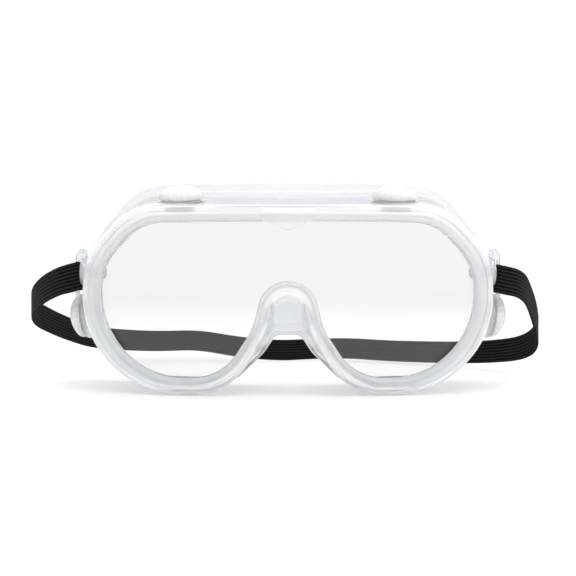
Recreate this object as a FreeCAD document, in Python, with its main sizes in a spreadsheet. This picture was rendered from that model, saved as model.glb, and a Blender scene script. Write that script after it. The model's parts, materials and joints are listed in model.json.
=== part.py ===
import FreeCAD, Part
import math
import os
from FreeCAD import Placement, Rotation, Vector

# Soft one-piece safety goggles standing upright on their two lower lobes.
# Millimetres. +X is right when facing the lens, -Y is the lens side, +Z is up.
# The origin is the bottom centre of the goggles without the headband.

doc = FreeCAD.newDocument("SafetyGoggles")

# ---------------------------------------------------------------- driving sizes
SIZES = {
    # front view of the rim: straight edges that meet at rounded corners
    "rim_half_width": 85.7, "rim_height": 76.6, "shoulder_inner": 64.6, "shoulder_drop": 54.7,
    "foot_inner": 24.2, "flank_half": 8.4, "flank_height": 24.4, "arch_half": 4.7, "arch_height": 39.9,
    "shoulder_round": 28.0, "side_round": 30.0, "lobe_round": 42.0, "foot_round": 28.0,
    "flank_round": 30.0, "arch_round": 5.8,
    # rim section: lens curve, thickness, widths of the visible band around the lens
    "lens_curve": 251.0, "rim_thickness": 8.0, "band_top": 6.4, "band_shoulder": 7.4, "band_side": 8.0,
    "band_bottom": 6.8, "band_nose": 6.2, "bead_inset": 1.2,
    # lens plate and the groove that holds it
    "lens_thickness": 2.0, "lens_setback": 3.0, "lens_tuck": 3.0, "groove_play": 0.12,
    # soft skirt from the rim to the face, given by its outline at the face
    "skirt_wall": 2.0, "skirt_depth": 42.0, "face_curve": 187.0,
    "skirt_half_width": 89.6, "skirt_height": 90.5, "skirt_foot": 1.4, "skirt_shoulder_inner": 68.0,
    "skirt_shoulder_drop": 62.0, "skirt_foot_inner": 29.0, "skirt_flank_half": 14.0,
    "skirt_flank_height": 10.0, "skirt_arch_half": 8.0, "skirt_arch_height": 13.4,
    "skirt_shoulder_round": 29.0, "skirt_side_round": 35.0, "skirt_lobe_round": 31.0,
    "skirt_foot_round": 24.0, "skirt_flank_round": 18.0, "skirt_arch_round": 5.0,
    # lip that rests on the face, given by its outer edge
    "lip_half_width": 95.0, "lip_height": 90.2, "lip_thickness": 2.2, "lip_shoulder_inner": 68.5,
    "lip_shoulder_drop": 62.0, "lip_foot_inner": 25.0, "lip_flank_half": 10.5, "lip_flank_height": 14.5,
    "lip_arch_half": 5.6, "apron_height": 22.0, "lip_shoulder_round": 29.0, "lip_side_round": 39.0,
    "lip_lobe_round": 34.0, "lip_foot_round": 16.0, "lip_flank_round": 16.0, "lip_arch_round": 4.0,
    # moulded boss in the middle of the rim's top
    "crest_half_width": 11.4, "crest_lower_half": 10.2, "crest_side_drop": 5.1, "crest_drop": 9.5,
    "crest_proud": 1.0, "crest_below_edge": 0.8, "crest_depth": 7.0,
    # vents: a domed cap on a stem, over a slotted seat in a boss of the wall
    "vent_radius": 9.6, "vent_height": 6.6, "vent_gap": 0.8, "vent_shell": 1.3, "vent_dome_round": 14.0,
    "vent_edge_round": 3.2, "vent_stem": 2.0, "vent_stem_end": -1.5, "vent_neck": 3.0,
    "vent_stem_bore": 2.06, "seat_radius": 8.0, "seat_plate": 1.2, "seat_plug": 6.4, "seat_depth": 4.0,
    "vent_hole": 6.5, "boss_radius": 10.2, "top_boss_depth": 5.0, "side_boss_depth": 9.0,
    "vent_slots": 6, "vent_slot_start": 3.4, "vent_slot_length": 2.0, "vent_slot_width": 2.2,
    "top_vent_x": 45.3, "top_vent_y": -11.0, "top_vent_lift": 0.1,
    "side_vent_x": 90.3, "side_vent_y": 8.0, "side_vent_z": 31.0, "side_vent_angle": 96.0,
    # headband hooks, the pads they turn on, and their rivets
    "pivot_y": -4.0, "pivot_z": 50.0, "pad_radius": 7.0, "pad_play": 0.05,
    "hook_face_x": 87.5, "hook_plate": 1.3, "hook_radius": 6.2, "hook_tab_half": 3.0,
    "hook_bar_x": 90.35, "hook_bar": 1.2, "hook_bar_y": -5.9, "hook_depth": 3.0, "hook_top": 60.0,
    "hook_slope": 2.6, "hook_arm_bottom": 55.0, "hook_bottom": 39.9, "hook_toe": 0.9,
    "rivet_radius": 2.5, "rivet_bore": 2.55, "rivet_head": 3.8, "rivet_head_bore": 3.9,
    "rivet_head_height": 0.7, "rivet_head_play": 0.1, "rivet_tip_x": 79.8, "rivet_barb": 3.4,
    "rivet_barb_length": 1.6, "rivet_barb_play": 0.25,
    # flat elastic headband; its two ends slope down as they leave the hooks
    "strap_width": 12.0, "strap_thickness": 1.3, "strap_start_x": 88.95, "strap_start_y": -6.65,
    "strap_right_z": 47.5, "strap_left_z": 48.7, "strap_right_slope": 0.2, "strap_left_slope": 0.24,
    "strap_end_reach": 101.5,
}

sheet = doc.addObject("Spreadsheet::Sheet", "Sizes")
for row, (alias, number) in enumerate(SIZES.items(), start=1):
    sheet.set(f"A{row}", alias)
    sheet.set(f"B{row}", str(number))
    sheet.setAlias(f"B{row}", alias)
doc.recompute()


def size(alias):
    return float(sheet.get(alias))


def bind(obj, prop, formula):
    """Drive one property from the sheet; words in the formula are sheet aliases."""
    obj.setExpression(prop, formula)


# ---------------------------------------------------------------- placing the goggles in depth
def set_back(radius, x):
    """How far a round wall of this radius falls back at the distance x from its middle."""
    return radius - math.sqrt(radius ** 2 - x ** 2)


BODY_DEPTH = size("skirt_depth") + set_back(size("face_curve"), size("lip_half_width"))
REAR_Y = (BODY_DEPTH + size("crest_proud")) / 2
FRONT_Y = REAR_Y - BODY_DEPTH
LENS_AXIS_Y = FRONT_Y + size("lens_curve")
FACE_AXIS_Y = FRONT_Y + size("skirt_depth") + size("face_curve")


def upright_cylinder(radius, axis_y):
    """Solid cylinder with a vertical axis, taller than the goggles."""
    return Part.makeCylinder(radius, 200, Vector(0, axis_y, -50))


def curved_sheet(front_radius, rear_radius, axis_y):
    """Space between two upright cylinders on one axis."""
    return upright_cylinder(front_radius, axis_y).cut(upright_cylinder(rear_radius, axis_y))


# ---------------------------------------------------------------- outlines in the front view
def mirrored(right_half):
    """Close a right half, listed from the top to the nose arch, into a whole clockwise loop."""
    left_half = [(-x, z, r) for x, z, r in reversed(right_half)]
    return right_half + left_half


def moved_in(corners, insets):
    """Move each straight edge of a loop inwards; insets[i] belongs to the edge after corner i."""
    count = len(corners)
    lines = []
    for i, (x, z, _) in enumerate(corners):
        next_x, next_z, _ = corners[(i + 1) % count]
        run = math.hypot(next_x - x, next_z - z)
        dx, dz = (next_x - x) / run, (next_z - z) / run
        lines.append((x + dz * insets[i], z - dx * insets[i], dx, dz))
    result = []
    for i, (_, _, radius) in enumerate(corners):
        ax, az, adx, adz = lines[i - 1]
        bx, bz, bdx, bdz = lines[i]
        turn = adx * bdz - adz * bdx
        along = ((bx - ax) * bdz - (bz - az) * bdx) / turn
        inset = (insets[i - 1] + insets[i]) / 2
        new_radius = radius - inset if turn < 0 else radius + inset
        result.append((ax + adx * along, az + adz * along, new_radius))
    return result


def rounded_wire(corners, y):
    """Closed wire in the plane y: straight edges joined by tangent arcs."""
    count = len(corners)
    starts, middles, ends = [], [], []
    for i, (x, z, radius) in enumerate(corners):
        corner = Vector(x, y, z)
        before = (corner - Vector(corners[i - 1][0], y, corners[i - 1][1])).normalize()
        after = (Vector(corners[(i + 1) % count][0], y, corners[(i + 1) % count][1]) - corner).normalize()
        half_turn = before.getAngle(after) / 2
        reach = radius * math.tan(half_turn)
        starts.append(corner - before * reach)
        ends.append(corner + after * reach)
        to_centre = (after - before).normalize()
        middles.append(corner + to_centre * (radius / math.cos(half_turn) - radius))
    edges = []
    for i in range(count):
        edges.append(Part.Arc(starts[i], middles[i], ends[i]).toShape())
        edges.append(Part.LineSegment(ends[i], starts[(i + 1) % count]).toShape())
    return Part.Wire(edges)


def prism(corners):
    """The outline as a solid that reaches through the whole depth of the goggles."""
    return Part.Face(rounded_wire(corners, FRONT_Y - 20)).extrude(Vector(0, BODY_DEPTH + 40, 0))


def sleeve(front_corners, rear_corners):
    """Solid between a front outline and a rear outline."""
    return Part.makeLoft([rounded_wire(front_corners, FRONT_Y), rounded_wire(rear_corners, REAR_Y)],
                         True, True)


RIM = mirrored([
    (size("shoulder_inner"), size("rim_height"), size("shoulder_round")),
    (size("rim_half_width"), size("shoulder_drop"), size("side_round")),
    (size("rim_half_width"), 0, size("lobe_round")),
    (size("foot_inner"), 0, size("foot_round")),
    (size("flank_half"), size("flank_height"), size("flank_round")),
    (size("arch_half"), size("arch_height"), size("arch_round")),
])


def face_outline(part, shoulder_height, foot_height, arch_height):
    """Right half of an outline at the face; its other sizes share the part's name in the sheet."""
    half_width = size(part + "_half_width")
    return mirrored([
        (size(part + "_shoulder_inner"), shoulder_height, size(part + "_shoulder_round")),
        (half_width, size(part + "_shoulder_drop"), size(part + "_side_round")),
        (half_width, foot_height, size(part + "_lobe_round")),
        (size(part + "_foot_inner"), foot_height, size(part + "_foot_round")),
        (size(part + "_flank_half"), size(part + "_flank_height"), size(part + "_flank_round")),
        (size(part + "_arch_half"), arch_height, size(part + "_arch_round")),
    ])


SKIRT_REAR = face_outline("skirt", size("skirt_height"), size("skirt_foot"), size("skirt_arch_height"))
LIP = face_outline("lip", size("lip_height"), 0, size("apron_height"))


def even_inset(corners, distance):
    return moved_in(corners, [distance] * len(corners))


def band_insets(extra):
    """Width of the rim band on each edge, less the part of the lens tucked under it."""
    right = [size("band_shoulder"), size("band_side"), size("band_bottom"), size("band_nose"),
             size("band_nose")]
    arch = [size("band_nose")]
    top = [size("band_top")]
    return [width - extra for width in right + arch + right[::-1] + top]


SIGHT = moved_in(RIM, band_insets(0))
LENS = moved_in(RIM, band_insets(size("lens_tuck")))
GROOVE = moved_in(RIM, band_insets(size("lens_tuck") + size("groove_play")))


# ---------------------------------------------------------------- helpers for document objects
def finished(label, obj):
    obj.Label = label
    return obj


def shaped(label, shape):
    """A sub-part whose free-form shape is worked out from the sheet's sizes."""
    obj = doc.addObject("Part::Feature", label)
    obj.Shape = shape
    return finished(label, obj)


def cylinder(name, radius, height, start):
    """Cylinder along Z whose sizes are formulas on the sheet."""
    obj = doc.addObject("Part::Cylinder", name)
    bind(obj, "Radius", radius)
    bind(obj, "Height", height)
    bind(obj, "Placement.Base.z", start)
    return obj


def box(name, length, width, height):
    """Box whose edges are formulas on the sheet."""
    obj = doc.addObject("Part::Box", name)
    for prop, formula in zip(("Length", "Width", "Height"), (length, width, height)):
        bind(obj, prop, formula)
    return obj


def joined(name, pieces):
    obj = doc.addObject("Part::MultiFuse", name)
    obj.Shapes = pieces
    return obj


def cut_away(name, base, tool):
    obj = doc.addObject("Part::Cut", name)
    obj.Base = base
    obj.Tool = tool
    return obj


# ---------------------------------------------------------------- where the vents and hooks sit
def top_vent_place(side):
    """Frame of a top vent: its own Z leaves the sloping top wall at a right angle."""
    rise = size("skirt_height") - (size("rim_height") - size("bead_inset"))
    slope = math.degrees(math.atan2(rise, BODY_DEPTH))
    share = (size("top_vent_y") - FRONT_Y) / BODY_DEPTH
    wall_z = size("rim_height") - size("bead_inset") + rise * share
    return Placement(Vector(side * size("top_vent_x"), size("top_vent_y"), wall_z + size("top_vent_lift")),
                     Rotation(Vector(1, 0, 0), slope))


def side_vent_place(side):
    """Frame of a side vent: its own Z points sideways and a little downwards."""
    return Placement(Vector(side * size("side_vent_x"), size("side_vent_y"), size("side_vent_z")),
                     Rotation(Vector(0, 1, 0), side * size("side_vent_angle")))


def vent_places():
    """Name, frame and boss depth of each vent."""
    for name, side in (("left", -1), ("right", 1)):
        yield f"top_{name}", top_vent_place(side), size("top_boss_depth")
        yield f"side_{name}", side_vent_place(side), size("side_boss_depth")


def along_z(radius, start, end):
    return Part.makeCylinder(radius, end - start, Vector(0, 0, start))


def placed(shape, place):
    copy = shape.copy()
    copy.Placement = place.multiply(copy.Placement)
    return copy


# ---------------------------------------------------------------- soft body
def rim_bead():
    """Thick curved rim that carries the lens."""
    thick = curved_sheet(size("lens_curve"), size("lens_curve") - size("rim_thickness"), LENS_AXIS_Y)
    return prism(RIM).common(thick)


def crest():
    """Small shield-shaped boss in the middle of the rim's upper band."""
    top = size("rim_height") - size("crest_below_edge")
    shoulder, tip = top - size("crest_side_drop"), top - size("crest_drop")
    half, lower_half = size("crest_half_width"), size("crest_lower_half")
    points = [Vector(-half, 0, top), Vector(half, 0, top), Vector(lower_half, 0, shoulder),
              Vector(0, 0, tip), Vector(-lower_half, 0, shoulder)]
    outline = Part.makePolygon(points + points[:1])
    block = Part.Face(outline).extrude(Vector(0, size("crest_depth"), 0))
    block.translate(Vector(0, FRONT_Y - size("crest_proud"), 0))
    return block


def at_pivot(side, start, length, radius):
    """Cylinder on the hook's pivot line, from x = start outwards on that side."""
    return Part.makeCylinder(radius, length, Vector(side * start, size("pivot_y"), size("pivot_z")),
                             Vector(side, 0, 0))


def mask_shape():
    lens_curve, groove_play = size("lens_curve"), size("groove_play")
    groove_front = lens_curve - size("lens_setback") + groove_play
    groove_rear = lens_curve - size("lens_setback") - size("lens_thickness") - groove_play
    front_skirt = even_inset(RIM, size("bead_inset"))
    outer = sleeve(front_skirt, SKIRT_REAR)
    inner = sleeve(even_inset(front_skirt, size("skirt_wall")), even_inset(SKIRT_REAR, size("skirt_wall")))
    cavity = inner.common(upright_cylinder(lens_curve - size("rim_thickness"), LENS_AXIS_Y))
    lip = prism(LIP).common(curved_sheet(size("face_curve") + size("lip_thickness"), size("face_curve"),
                                         FACE_AXIS_Y))
    soft = outer.common(upright_cylinder(lens_curve, LENS_AXIS_Y))
    soft = soft.cut(upright_cylinder(size("face_curve"), FACE_AXIS_Y)).fuse([rim_bead(), lip])
    for _, place, depth in vent_places():
        soft = soft.fuse(placed(along_z(size("boss_radius"), -depth, 0), place))
    soft = soft.cut(cavity)
    pad_start = size("rivet_tip_x") + size("rivet_barb_play")
    pad_end = size("hook_face_x") - size("pad_play")
    for side in (-1, 1):
        soft = soft.fuse(at_pivot(side, pad_start, pad_end - pad_start, size("pad_radius")))
    lens_seat = prism(GROOVE).common(curved_sheet(groove_front, groove_rear, LENS_AXIS_Y))
    sight = prism(SIGHT).common(curved_sheet(lens_curve + 10, lens_curve - 10, LENS_AXIS_Y))
    soft = soft.cut([lens_seat, sight])
    for _, place, _ in vent_places():
        soft = soft.cut(placed(along_z(size("vent_hole"), -20, 5), place))
    for side in (-1, 1):
        soft = soft.cut(at_pivot(side, 75, 20, size("rivet_bore")))
    return soft.fuse(crest().cut(upright_cylinder(groove_front, LENS_AXIS_Y))).removeSplitter()


def lens_shape():
    front = size("lens_curve") - size("lens_setback")
    return prism(LENS).common(curved_sheet(front, front - size("lens_thickness"), LENS_AXIS_Y))


# ---------------------------------------------------------------- vents
def vent_seat(label, place):
    """Slotted plug pressed into the soft wall; air passes through its slots."""
    plate = cylinder(label + "_plate", "Sizes.seat_radius", "Sizes.seat_plate", "0 mm")
    plug = cylinder(label + "_plug", "Sizes.seat_plug", "Sizes.seat_depth", "-Sizes.seat_depth * 1 mm")
    solid = joined(label + "_solid", [plate, plug])
    bore = cylinder(label + "_bore", "Sizes.vent_stem_bore", "20 mm", "-10 mm")
    slots = []
    for i in range(int(size("vent_slots"))):
        slot = box(f"{label}_slot{i}", "Sizes.vent_slot_length", "Sizes.vent_slot_width", "20 mm")
        turn = Rotation(Vector(0, 0, 1), i * 360 / size("vent_slots"))
        inner = Vector(size("vent_slot_start"), -size("vent_slot_width") / 2, -10)
        slot.Placement = Placement(turn.multVec(inner), turn)
        slots.append(slot)
    seat = cut_away(label, solid, joined(label + "_holes", [bore] + slots))
    seat.Placement = place
    return finished(label, seat)


def cap_section():
    """Half section of the vent cap in its own XY plane: X is the radius and Y the height."""
    radius, gap, shell = size("vent_radius"), size("vent_gap"), size("vent_shell")
    dome, edge = size("vent_dome_round"), size("vent_edge_round")
    stem, neck = size("vent_stem"), size("vent_neck")
    dome_y = size("vent_height") - dome
    edge_x = radius - edge
    edge_y = dome_y + math.sqrt((dome - edge) ** 2 - edge_x ** 2)
    seam = math.atan2(edge_x, edge_y - dome_y)

    def on_dome(inset, angle):
        return Vector((dome - inset) * math.sin(angle), dome_y + (dome - inset) * math.cos(angle), 0)

    def on_edge(inset, angle):
        return Vector(edge_x + (edge - inset) * math.sin(angle), edge_y + (edge - inset) * math.cos(angle), 0)

    right_angle = math.pi / 2
    neck_angle = math.asin(neck / (dome - shell))
    outside = [
        Part.Arc(on_dome(0, 0), on_dome(0, seam / 2), on_dome(0, seam)),
        Part.Arc(on_dome(0, seam), on_edge(0, (seam + right_angle) / 2), on_edge(0, right_angle)),
    ]
    inside = [
        Part.Arc(on_edge(shell, right_angle), on_edge(shell, (seam + right_angle) / 2), on_dome(shell, seam)),
        Part.Arc(on_dome(shell, seam), on_dome(shell, (seam + neck_angle) / 2), on_dome(shell, neck_angle)),
    ]
    under_edge = [on_edge(0, right_angle), Vector(radius, gap, 0), Vector(radius - shell, gap, 0),
                  on_edge(shell, right_angle)]
    down_stem = [on_dome(shell, neck_angle), Vector(neck, size("seat_plate"), 0),
                 Vector(stem, size("seat_plate"), 0), Vector(stem, size("vent_stem_end"), 0),
                 Vector(0, size("vent_stem_end"), 0), on_dome(0, 0)]
    lines = [Part.LineSegment(a, b) for chain in (under_edge, down_stem) for a, b in zip(chain, chain[1:])]
    return outside + lines[:3] + inside + lines[3:]


def vent_cap(label, place):
    """Hollow dome on a stem; air leaves all round under its edge."""
    body = doc.addObject("PartDesign::Body", label)
    body.Label = label
    plane = [f for f in body.Origin.OriginFeatures if f.Role == "XZ_Plane"][0]
    sketch = body.newObject("Sketcher::SketchObject", label + "_profile")
    sketch.AttachmentSupport = [(plane, "")]
    sketch.MapMode = "FlatFace"
    sketch.addGeometry(cap_section(), False)
    doc.recompute()
    turned = body.newObject("PartDesign::Revolution", label + "_turned")
    turned.Profile = sketch
    turned.ReferenceAxis = (sketch, ["V_Axis"])
    turned.Angle = 360
    doc.recompute()
    body.Placement = place
    return body


# ---------------------------------------------------------------- headband hooks
def plate_in_depth(points, y, depth):
    """Upright plate with this outline (x, z), from y backwards."""
    corners = [Vector(x, y, z) for x, z in points]
    return Part.Face(Part.makePolygon(corners + corners[:1])).extrude(Vector(0, depth, 0))


def hook(label, side):
    """Plate that turns on the rivet, with a bar hanging from its arm to hold the headband."""
    def block(x0, x1, y0, y1, z0, z1):
        return Part.makeBox(x1 - x0, y1 - y0, z1 - z0, Vector(min(side * x0, side * x1), y0, z0))

    face, pivot_y, tab = size("hook_face_x"), size("pivot_y"), size("hook_tab_half")
    outside = face + size("hook_plate")
    bar_x0, bar_x1 = size("hook_bar_x"), size("hook_bar_x") + size("hook_bar")
    bar_y0, bar_y1 = size("hook_bar_y"), size("hook_bar_y") + size("hook_depth")
    top, bottom = size("hook_top"), size("hook_bottom")
    head_start = outside - size("rivet_head_height") - size("rivet_head_play")
    plate = at_pivot(side, face, size("hook_plate"), size("hook_radius"))
    plate = plate.fuse(block(face, outside, pivot_y - tab, pivot_y + tab, size("pivot_z"), top))
    plate = plate.cut([at_pivot(side, face - 1, 5, size("rivet_bore")),
                       at_pivot(side, head_start, 5, size("rivet_head_bore"))])
    arm_outline = [(face, top), (outside + 0.6, top), (bar_x1, top - size("hook_slope")),
                   (bar_x1, size("hook_arm_bottom")), (face, size("hook_arm_bottom"))]
    arm = plate_in_depth([(side * x, z) for x, z in arm_outline], bar_y0, size("hook_depth"))
    bar = block(bar_x0, bar_x1, bar_y0, bar_y1, bottom, size("hook_arm_bottom") + 1)
    toe = block(bar_x0 - 0.5, bar_x1, bar_y0, bar_y1, bottom, bottom + size("hook_toe"))
    return shaped(label, plate.fuse([arm, bar, toe]).removeSplitter())


def rivet(label, side):
    """Push-in rivet: the hook turns on its shank, and its barb holds inside the soft wall."""
    start, radius, barb_length = size("rivet_tip_x"), size("rivet_radius"), size("rivet_barb_length")
    length = size("hook_face_x") + size("hook_plate") - size("rivet_head_play") - start
    head_height = size("rivet_head_height")
    shank = Part.makeCylinder(radius, length)
    head = Part.makeCylinder(size("rivet_head"), head_height, Vector(0, 0, length - head_height))
    barb = Part.makeCone(radius - 0.8, size("rivet_barb"), barb_length + 0.2, Vector(0, 0, -barb_length))
    obj = shaped(label, shank.fuse([head, barb]).removeSplitter())
    obj.Placement = Placement(Vector(side * start, size("pivot_y"), size("pivot_z")),
                              Rotation(Vector(0, 1, 0), side * 90))
    return obj


# ---------------------------------------------------------------- headband
# Middle line of the headband from the right hook to the left one: x, y, z.
STRAP_ROUTE = [
    (88.95, -6.65, 47.5), (94.0, -6.6, 46.5), (99.3, -4.0, 45.4), (104.6, 2.5, 43.0), (110.0, 13.5, 37.6),
    (116.2, 26.0, 28.9), (120.4, 41.0, 19.8), (118.0, 58.0, 12.6), (108.5, 77.0, 9.3), (94.0, 95.0, 7.4),
    (76.0, 110.0, 6.6), (56.0, 119.0, 6.6), (36.0, 128.0, 7.4), (16.0, 131.0, 6.8), (-6.0, 122.0, 6.3),
    (-30.0, 127.0, 8.2), (-54.0, 139.0, 11.6), (-76.0, 131.0, 11.2), (-96.0, 122.0, 12.6),
    (-109.0, 102.0, 15.4), (-115.0, 80.0, 20.4), (-119.5, 58.0, 25.8), (-122.6, 38.0, 31.3),
    (-118.3, 20.0, 36.7), (-109.5, 6.0, 42.2), (-100.0, -3.7, 45.9), (-94.0, -6.6, 47.5),
    (-88.95, -6.65, 48.7),
]


def strap_path():
    """Straight runs joined by tangent arcs; each arc is as large as its two runs allow."""
    points = [Vector(*p) for p in STRAP_ROUTE]
    edges, radii = [], []
    last = points[0]
    for before, corner, after in zip(points, points[1:], points[2:]):
        run_in, run_out = corner - before, after - corner
        half_turn = run_in.getAngle(run_out) / 2
        reach = 0.45 * min(run_in.Length, run_out.Length)
        radius = reach / math.tan(half_turn)
        run_in.normalize()
        run_out.normalize()
        start, end = corner - run_in * reach, corner + run_out * reach
        to_centre = (run_out - run_in).normalize()
        middle = corner + to_centre * (radius / math.cos(half_turn) - radius)
        edges.append(Part.LineSegment(last, start).toShape())
        edges.append(Part.Arc(start, middle, end).toShape())
        radii.append(radius)
        last = end
    edges.append(Part.LineSegment(last, points[-1]).toShape())
    return Part.Wire(edges), radii


def ribbon(path, heading):
    """Flat band that stays upright along its path."""
    start = path.Edges[0].valueAt(path.Edges[0].FirstParameter)
    across = Vector(0, 0, 1).cross(heading).normalize()
    half_t, half_w = size("strap_thickness") / 2, size("strap_width") / 2
    up = Vector(0, 0, 1)
    corners = [start + across * half_t * a + up * half_w * b for a, b in ((-1, -1), (1, -1), (1, 1), (-1, 1))]
    section = Part.makePolygon(corners + corners[:1])
    sweep = Part.BRepOffsetAPI.MakePipeShell(path)
    sweep.setBiNormalMode(up)
    sweep.add(section)
    sweep.build()
    sweep.makeSolid()
    return Part.Solid(sweep.shape())


def head_strap():
    path, radii = strap_path()
    solid = ribbon(path, Vector(1, 0, 0))
    level_length = sum(math.hypot(*(e.valueAt(e.LastParameter) - e.valueAt(e.FirstParameter))[:2])
                       for e in path.Edges)
    section = size("strap_width") * size("strap_thickness")
    print("headband arc radii, mm:", [round(r, 1) for r in radii])
    print(f"headband length {path.Length:.1f} mm, volume {solid.Volume:.0f} mm3,"
          f" section x level length {section * level_length:.0f} mm3")
    return shaped("head_strap", solid)


def strap_end(label, side, middle_z, slope):
    """End of the headband: it goes round the hook's bar and is sewn back behind itself."""
    thick, half_width = size("strap_thickness"), size("strap_width") / 2
    x_in, x_out = size("strap_start_x"), size("strap_end_reach")
    front = size("strap_start_y") + thick / 2 + 0.02
    back = size("hook_bar_y") + size("hook_depth") + 0.15
    outline = [(x_in, front), (x_in, back + thick), (93.5, back + thick), (x_out - 4.5, back + thick + 0.1),
               (x_out - 0.9, 1.2), (x_out, 0.2), (x_out - 3.9, back + 0.1), (93.5, back),
               (x_in + thick, back), (x_in + thick, front)]
    corners = [Vector(side * x, y, 0) for x, y in outline]
    folded = Part.Face(Part.makePolygon(corners + corners[:1])).extrude(Vector(0, 0, 100))
    drop = slope * (x_out + 2 - x_in)
    edges = [(x_in - 1, half_width + slope), (x_out + 2, half_width - drop), (x_out + 2, -half_width - drop),
             (x_in - 1, -half_width + slope)]
    band = plate_in_depth([(side * x, middle_z + z) for x, z in edges], -20, 40)
    return shaped(label, folded.common(band))


# ---------------------------------------------------------------- the whole assembly
def build():
    parts = [shaped("mask_body", mask_shape()), shaped("lens", lens_shape())]
    for name, place, _ in vent_places():
        parts.append(vent_seat(f"vent_seat_{name}", place))
        parts.append(vent_cap(f"vent_cap_{name}", place))
    for name, side in (("left", -1), ("right", 1)):
        parts.append(hook(f"strap_hook_{name}", side))
        parts.append(rivet(f"hook_rivet_{name}", side))
        parts.append(strap_end(f"strap_end_{name}", side, size(f"strap_{name}_z"),
                               size(f"strap_{name}_slope")))
    parts.append(head_strap())
    return parts


def check(parts):
    doc.recompute()
    for obj in doc.Objects:
        if "Invalid" in obj.State or "Error" in obj.State:
            raise RuntimeError(f"{obj.Label} failed: {obj.State}")
    for part in parts:
        shape = part.Shape
        if shape.isNull() or not shape.isValid():
            raise RuntimeError(f"{part.Label} has no valid shape")
        bounds = shape.BoundBox
        print(f"{part.Label:22s} {shape.Volume:9.1f} mm3  solids {len(shape.Solids)}"
              f"  x {bounds.XMin:7.2f} {bounds.XMax:7.2f}  y {bounds.YMin:7.2f} {bounds.YMax:7.2f}"
              f"  z {bounds.ZMin:7.2f} {bounds.ZMax:7.2f}")


subparts = build()
check(subparts)
os.makedirs("parts", exist_ok=True)
for subpart in subparts:
    subpart.Shape.exportStep(f"parts/{subpart.Label}.step")
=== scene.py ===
import json
import math

import bpy
import bmesh
import numpy as np
from mathutils import Matrix, Vector


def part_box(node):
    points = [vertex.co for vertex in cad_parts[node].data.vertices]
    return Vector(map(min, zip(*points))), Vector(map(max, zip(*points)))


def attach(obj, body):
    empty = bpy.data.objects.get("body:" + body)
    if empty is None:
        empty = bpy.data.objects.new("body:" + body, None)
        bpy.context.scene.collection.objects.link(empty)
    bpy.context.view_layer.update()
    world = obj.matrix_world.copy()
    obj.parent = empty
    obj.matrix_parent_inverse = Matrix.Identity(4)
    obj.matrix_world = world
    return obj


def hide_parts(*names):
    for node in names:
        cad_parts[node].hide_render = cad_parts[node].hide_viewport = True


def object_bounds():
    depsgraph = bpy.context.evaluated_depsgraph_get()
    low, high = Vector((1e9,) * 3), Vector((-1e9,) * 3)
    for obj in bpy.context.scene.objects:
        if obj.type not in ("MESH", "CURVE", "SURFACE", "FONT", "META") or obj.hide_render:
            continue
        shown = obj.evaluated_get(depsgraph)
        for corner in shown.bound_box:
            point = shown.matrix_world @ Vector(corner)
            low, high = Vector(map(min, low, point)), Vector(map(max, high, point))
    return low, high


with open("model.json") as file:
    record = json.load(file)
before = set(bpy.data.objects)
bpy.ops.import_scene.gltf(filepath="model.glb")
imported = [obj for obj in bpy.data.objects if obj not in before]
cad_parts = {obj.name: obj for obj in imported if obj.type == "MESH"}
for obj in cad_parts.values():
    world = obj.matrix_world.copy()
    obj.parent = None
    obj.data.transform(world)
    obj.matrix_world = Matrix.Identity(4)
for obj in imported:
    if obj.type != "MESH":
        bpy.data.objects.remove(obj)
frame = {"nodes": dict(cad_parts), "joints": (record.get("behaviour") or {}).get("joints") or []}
cad_box = [list(corner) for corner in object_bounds()]
MM = 0.001

# ---------------------------------------------------------------- places read from the frame
mask_low, mask_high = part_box("mask_body")
CREST_PROUD = 1.0 * MM
FRONT_Y = mask_low.y + CREST_PROUD
DEPTH = mask_high.y - FRONT_Y
PIVOT = Vector(frame["joints"][0]["pos_m"])
GOGGLE, HEADBAND = "goggle", "headband"

# ---------------------------------------------------------------- camera
CAMERA_DISTANCE, CAMERA_HEIGHT = 337 * MM, 44.5 * MM
CAMERA_TILT = math.radians(89.8)
FOCAL_LENGTH, SENSOR_WIDTH = 52.9, 36

camera_data = bpy.data.cameras.new("camera")
camera_data.lens = FOCAL_LENGTH
camera_data.sensor_width = SENSOR_WIDTH
camera_data.clip_start = 10 * MM
camera = bpy.data.objects.new("camera", camera_data)
camera.location = (0, FRONT_Y - CAMERA_DISTANCE, CAMERA_HEIGHT)
camera.rotation_euler = (CAMERA_TILT, 0, 0)
bpy.context.scene.collection.objects.link(camera)
bpy.context.scene.camera = camera


# ---------------------------------------------------------------- mesh helpers
def add_object(name, data):
    obj = bpy.data.objects.new(name, data)
    bpy.context.scene.collection.objects.link(obj)
    return obj


def mesh_piece(name, vertices, faces, smooth=True):
    mesh = bpy.data.meshes.new(name)
    mesh.from_pydata([tuple(v) for v in vertices], [], faces)
    mesh.update()
    if smooth:
        mesh.shade_smooth()
    return add_object(name, mesh)


def grid_faces(rows, columns, closed_rows=False, closed_columns=False):
    """Quads of a grid whose points are stored row by row."""
    faces = []
    for r in range(rows if closed_rows else rows - 1):
        for c in range(columns if closed_columns else columns - 1):
            r1, c1 = (r + 1) % rows, (c + 1) % columns
            faces.append((r * columns + c, r * columns + c1, r1 * columns + c1, r1 * columns + c))
    return faces


def recalculate(obj):
    """Point every normal outwards."""
    mesh = bmesh.new()
    mesh.from_mesh(obj.data)
    bmesh.ops.recalc_face_normals(mesh, faces=mesh.faces)
    mesh.to_mesh(obj.data)
    mesh.free()


def apply_modifiers(obj):
    """Make the shape that the modifiers give the object's own mesh."""
    depsgraph = bpy.context.evaluated_depsgraph_get()
    mesh = bpy.data.meshes.new_from_object(obj.evaluated_get(depsgraph))
    obj.modifiers.clear()
    old = obj.data
    obj.data = mesh
    bpy.data.meshes.remove(old)


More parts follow.
